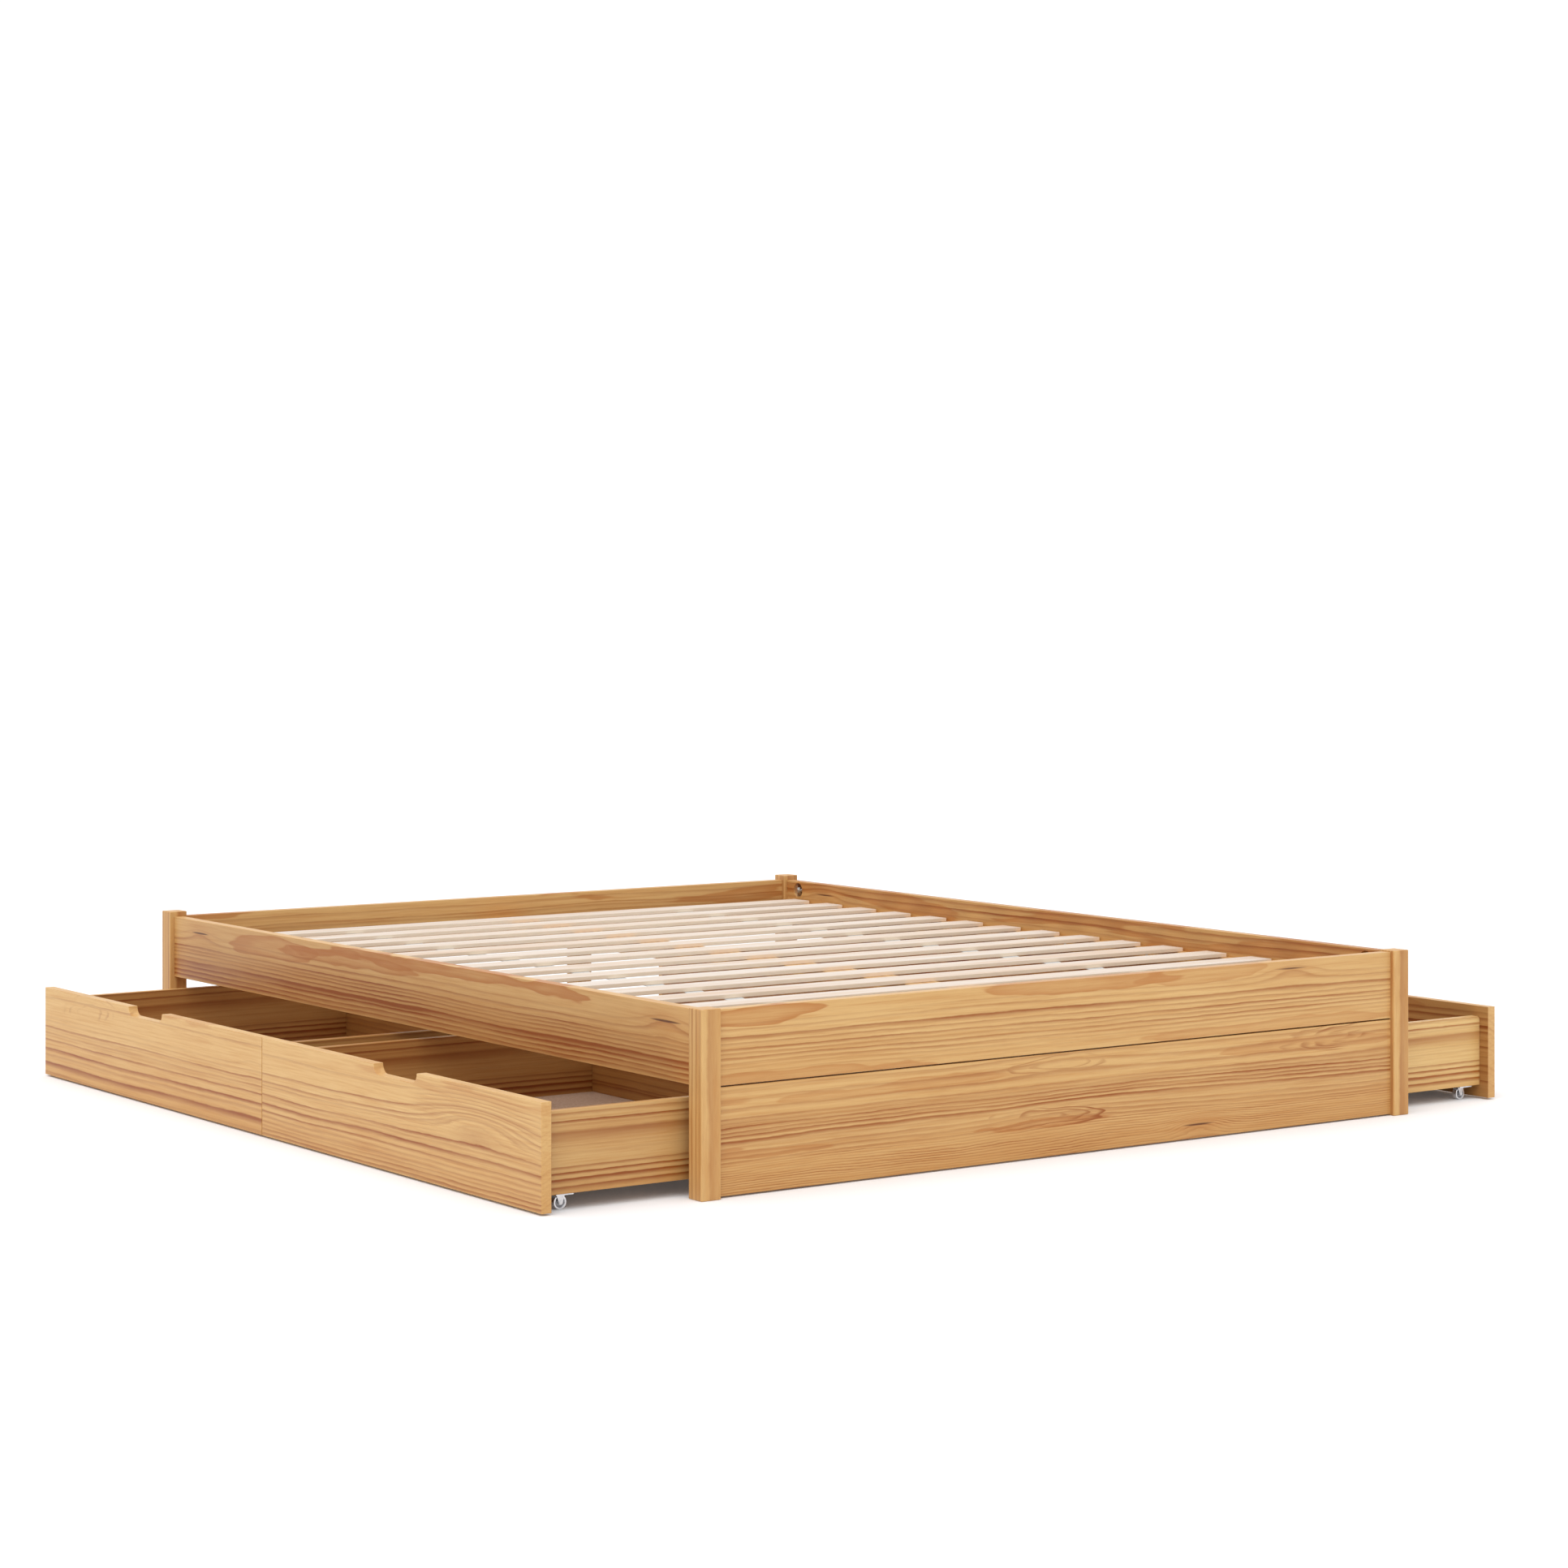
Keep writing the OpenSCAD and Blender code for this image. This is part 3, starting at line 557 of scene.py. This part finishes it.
for n, s, y0 in (("centre_leg_foot", 41.0, -0.700), ("centre_leg_head", 43.0, 0.660)):
    dress(n, pine("pine_" + n, ("z", 1, 0.0), ("x", 1, -0.020), ("y", 1, y0), height=0.060, seed=s,
                  lines=random_lines(random.Random(int(s)), 0.060, 0.009), warp=0.4, contrast=0.5))
dress("slats", SLAT)
dress("slat_staples", STEEL)
for n in ("wood_screws", "bed_bolts", "bolt_nuts", "leg_bolts"):
    dress(n, ZINC)
dress("crescent_washers", STEEL)
BEECH = tuple(toned(*c) for c in ((222, 192, 152), (210, 174, 130), (198, 158, 114), (178, 134, 92), (196, 154, 110), (150, 110, 74)))
DOWEL = pine("beech_dowels", ("x", 1, 0.0), ("y", 1, 0.0), ("z", 1, 0.0), height=0.040, seed=45.0, slope=1.0,
             lines=random_lines(random.Random(45), 0.040, 0.004), warp=0.2, contrast=0.3, tones=BEECH, rough=0.6)
dress("end_dowels", DOWEL)

FRONTS = {
    "lh": dict(lines=[(0.018, 0.35, W1), (0.060, 0.15, W1), (0.069, 0.22, W1), (0.081, 0.75, W1), (0.087, 0.28, W1), (0.0945, 0.5, W1), (0.100, 0.3, W1),
                      (0.109, 0.8, W1), (0.128, 0.95, W2), (0.140, 0.3, W2), (0.157, 1.0, W3), (0.178, 0.35, W2)],
               fine=[(0.0055, 0.18, ((0, 0), (0.36, 0), (0.42, 1), (0.62, 1), (0.7, 0), (1, 0)))],
               tone=((0, 0.15), (0.35, 0.2), (0.6, 0.45), (0.9, 0.75), (1, 1.0)), eyes=[(0.97, 0.05, 0.06, 0.012, 0.010)],
               loops=[(0.225, 0.030, 0.10, 0.034, 0.34, ((0.55, 0.7), (1.0, 1.0), (1.35, 0.7)))]),
    "lf": dict(lines=[(0.029, 0.30, W1), (0.064, 0.70, W1), (0.080, 0.65, W1), (0.088, 0.4, W1), (0.106, 0.75, W1), (0.112, 0.3, W1), (0.122, 0.9, W2),
                      (0.1355, 0.7, W1), (0.146, 0.4, W1), (0.156, 0.5, W1), (0.163, 0.4, W1), (0.170, 0.7, W1), (0.178, 0.8, W1)],
               fine=[(0.0050, 0.30, ((0, 0), (0.30, 0), (0.40, 1), (1, 1)))],
               tone=((0, 0.15), (0.4, 0.15), (0.7, 0.4), (1, 0.7)), eyes=[(0.80, 0.056, 0.17, 0.034, 0.033)],
               arcs=[(0.0105, 0.42, 0.80, 0.048, 0.26, 0.060)]),
}
FRONTS["rh"] = dict(lines=random_lines(random.Random(71), 0.1845, 0.014), tone=((0, 0.2), (1, 0.6)), eyes=[(0.3, 0.05, 0.15, 0.03, 0.045)],
                    fine=[(0.0052, 0.25, ((0, 0), (0.4, 0.2), (1, 1)))])
FRONTS["rf"] = dict(lines=random_lines(random.Random(72), 0.1845, 0.013), tone=((0, 0.2), (1, 0.7)), eyes=[(0.66, 0.09, 0.16, 0.03, -0.04)],
                    fine=[(0.0050, 0.25, ((0, 0), (0.5, 0.4), (1, 1)))])
SIDE_LINES = [(0.006, 0.5, W1), (0.019, 0.8, W1), (0.026, 0.2, W1), (0.040, 0.55, 0.0085), (0.060, 0.2, W1), (0.072, 0.12, W1), (0.095, 0.55, W1),
              (0.105, 0.9, W1), (0.116, 1.0, W2), (0.129, 0.85, W2)]

# The two side boards that face the foot end get their tones scaled: the left one darker, the right one paler.
SIDE_TONES = {
    "lf_side_outer": tuple(tuple(c * f for c, f in zip(t[:3], (0.90, 0.90, 0.91))) for t in TONES),
    "rf_side_outer": tuple(tuple(c * f for c, f in zip(t[:3], (1.12, 1.26, 1.38))) for t in TONES)}
for k, (d, s, t) in enumerate(SIDES):
    q = 50.0 + 17.0 * k
    y0 = {"lh": 1.010, "lf": -0.001, "rh": 1.010, "rf": -0.001}[d]
    dress(d + "_front", pine("pine_front_" + d, ("y", -1, y0), ("z", -1, 0.188), ("x", -s, s * 1.130), height=0.1845, seed=q, warp=0.75,
                             patches=((0, 0.12), (0.4, 0.0), (1, 0.0)), contrast=0.95, inside_shade=(0.0188, 0.0197), **FRONTS[d]))
    for e, p, q2 in (("_side_outer", 0.988, 3.0), ("_side_inner", 0.042, 6.0)):
        rng = random.Random(int(q + q2))
        shift = 0.0 if e == "_side_outer" and t < 0 and s < 0 else rng.uniform(-0.006, 0.006)
        dress(d + e, pine("pine" + e + "_" + d, ("x", s, s * 0.40), ("z", -1, 0.168), ("y", -t if e == "_side_outer" else t, t * p), height=0.140, seed=q + q2,
                          lines=[(v + shift, a, w) for v, a, w in SIDE_LINES], tone=((0, 0.4), (0.3, 0.7), (0.5, 0.4), (0.8, 0.6), (1, 0.9)),
                          warp=0.30, contrast=0.95, fade=0.25, tones=SIDE_TONES.get(d + e, TONES),
                          inside_shade=(0.0150, 0.0158) if e == "_side_outer" else (0.0, 0.0)))
    dress(d + "_back", pine("pine_back_" + d, ("y", 1, 0.0), ("z", -1, 0.168), ("x", -s, s * 0.431), height=0.140, seed=q + 9.0,
                            lines=random_lines(random.Random(int(q) + 9), 0.140, 0.012), warp=0.7, contrast=0.8, tone=((0, 0.5), (1, 0.9)), inside_shade=(0.0, 0.0)))
    dress(d + "_bottom", BOARD)
    dress(d + "_dowels", DOWEL)
    dress(d + "_caster_forks", STEEL)
    dress(d + "_wheels_front", wheel_material("steel_wheels_front_" + d, s * 1.070))
    dress(d + "_wheels_rear", wheel_material("steel_wheels_rear_" + d, s * 0.460))

for n in ("post_foot_left", "post_foot_right", "post_head_left", "post_head_right"):
    ease(n, 0.0018, 3)
for n in ("side_rail_left", "side_rail_right", "head_rail"):
    ease(n, 0.0010, 3)
for n in ("foot_rail", "foot_panel"):
    ease(n, 0.0007, 2)
for n in ("ledger_left", "ledger_right", "centre_beam", "beam_cleats", "centre_leg_foot", "centre_leg_head"):
    ease(n, 0.0012, 2)
ease("slats", 0.0009, 2)


def notch_edges(p, on):
    """Vertices of a front's finger notch and outline, on its outer or inner face."""
    face = on[:, 0] > 0
    return face & (p[:, 2] > 0.1695) & (np.abs(np.abs(p[:, 1]) - 0.515) < 0.0785)


def side_corner(p, on):
    """Vertices of a drawer side's rounded upper front corner."""
    return (on[:, 1] > 0) & (np.abs(p[:, 0]) > 1.1018) & (p[:, 2] > 0.1598)


for d, s, t in SIDES:
    ease(d + "_front", 0.0009, 3, notch_edges)
    ease(d + "_side_outer", 0.0012, 3, side_corner)
    ease(d + "_side_inner", 0.0012, 3, side_corner)
    ease(d + "_back", 0.0012, 3)


# ---------------------------------------------------------------- webbing tapes
# Each tape is drawn once more as a real woven strip that dips a little between the slats.
def tape(name, xc):
    bm = bmesh.new()
    w, t = 0.0200, 0.0009
    ys = np.linspace(-0.9682, 0.9682, 361)
    rows = []
    for y in ys:
        k = (y + 0.0673) / 0.1346
        away = min(1.0, max(0.0, (abs((k % 1.0) - 0.5) * 0.1346 - 0.031) / 0.0363))
        ph = 0.0
        dip = 0.0022 * math.sin(math.pi * min(1.0, max(0.0, away))) ** 2 if away > 0 else 0.0
        z = 0.26985 - dip
        rows.append([bm.verts.new((xc + sx * w, y, z - tz)) for sx, tz in ((-1, 0), (1, 0), (1, t), (-1, t))])
    for a, b in zip(rows, rows[1:]):
        for q in range(4):
            bm.faces.new((a[q], a[(q + 1) % 4], b[(q + 1) % 4], b[q]))
    bm.faces.new(rows[0])
    bm.faces.new(rows[-1][::-1])
    bmesh.ops.recalc_face_normals(bm, faces=bm.faces)
    me = bpy.data.meshes.new(name)
    bm.to_mesh(me)
    bm.free()
    o = bpy.data.objects.new(name, me)
    scene.collection.objects.link(o)
    me.materials.append(WEBBING)
    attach(o, "frame")
    return o


WEBBING = webbing_material()
tapes = [tape("slat_tape_left", -0.442), tape("slat_tape_right", 0.442)]
for o in tapes:
    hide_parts("slat_tapes")

# ---------------------------------------------------------------- floor, light, camera
floor_mesh = bpy.data.meshes.new("floor")
bm = bmesh.new()
bmesh.ops.create_grid(bm, x_segments=2, y_segments=2, size=40.0)
bm.to_mesh(floor_mesh)
bm.free()
floor = bpy.data.objects.new("floor", floor_mesh)
scene.collection.objects.link(floor)
floor.location = (0, 0, -0.0002)
fm, fg, fb, fP = plain_material("floor_white")
fn = fg.noise(fP, 3.0, 3.0, 0.5)
fg.put(fb.inputs["Base Color"], fg.mix(fn, (0.872, 0.882, 0.895, 1), (0.902, 0.912, 0.925, 1)))
fg.put(fb.inputs["Roughness"], fg.step(fn, 0.2, 0.8, 0.85, 0.95))
fb.inputs["Specular IOR Level"].default_value = 0.0
fb.inputs["Emission Color"].default_value = (1, 1, 1, 1)
fb.inputs["Emission Strength"].default_value = 0.04
# seen from below, the floor is left out, so that the underside can be looked at
geo = fg.new("ShaderNodeNewGeometry")
clear = fg.new("ShaderNodeBsdfTransparent")
clear.inputs[0].default_value = (1.0, 1.0, 1.0, 1.0)
pick = fg.new("ShaderNodeMixShader")
fg.put(pick.inputs[0], geo.outputs["Backfacing"])
fg.t.links.new(fb.outputs[0], pick.inputs[1])
fg.t.links.new(clear.outputs[0], pick.inputs[2])
fg.t.links.new(pick.outputs[0], next(n for n in fg.t.nodes if n.type == "OUTPUT_MATERIAL").inputs[0])
floor_mesh.materials.append(fm)

world = bpy.data.worlds.new("studio")
world.use_nodes = True
wg = Graph(world.node_tree)
bg = world.node_tree.nodes["Background"]
wt = wg.new("ShaderNodeTexCoord")
# a white studio: bright on the far side, a little dimmer behind the viewer
toward = wg.vmath("DOT_PRODUCT", wt.outputs["Generated"], (0.58, 0.81, 0.0))
wg.put(bg.inputs[0], wg.mix(wg.step(toward, -0.15, 0.55), (0.60, 0.60, 0.61, 1), (1.06, 1.06, 1.06, 1)))
bg.inputs[1].default_value = 1.0
scene.world = world


def sun(name, toward, angle, strength, colour=(1, 1, 1)):
    l = bpy.data.lights.new(name, "SUN")
    l.angle = math.radians(angle)
    l.energy = strength
    l.color = colour
    o = bpy.data.objects.new(name, l)
    scene.collection.objects.link(o)
    o.rotation_mode = "QUATERNION"
    o.rotation_quaternion = Vector(toward).to_track_quat("-Z", "Y")
    return o


sun("overhead", (0.42, 0.40, -1.0), 75, 1.95)

cam_data = bpy.data.cameras.new("camera")
cam = bpy.data.objects.new("camera", cam_data)
scene.collection.objects.link(cam)
cam.location = (-4.0858, -5.8575, 1.0316)
cam.rotation_euler = (math.pi / 2, 0.0, -0.6181)
cam_data.sensor_width = 36.0
cam_data.lens = 4235.2 / 1932 * 36
cam_data.shift_x = 0.0
cam_data.shift_y = (727.54 - 966) / 1932
cam_data.clip_start, cam_data.clip_end = 0.05, 200.0
scene.camera = cam
scene.view_settings.view_transform = "Standard"
scene.view_settings.look = "None"
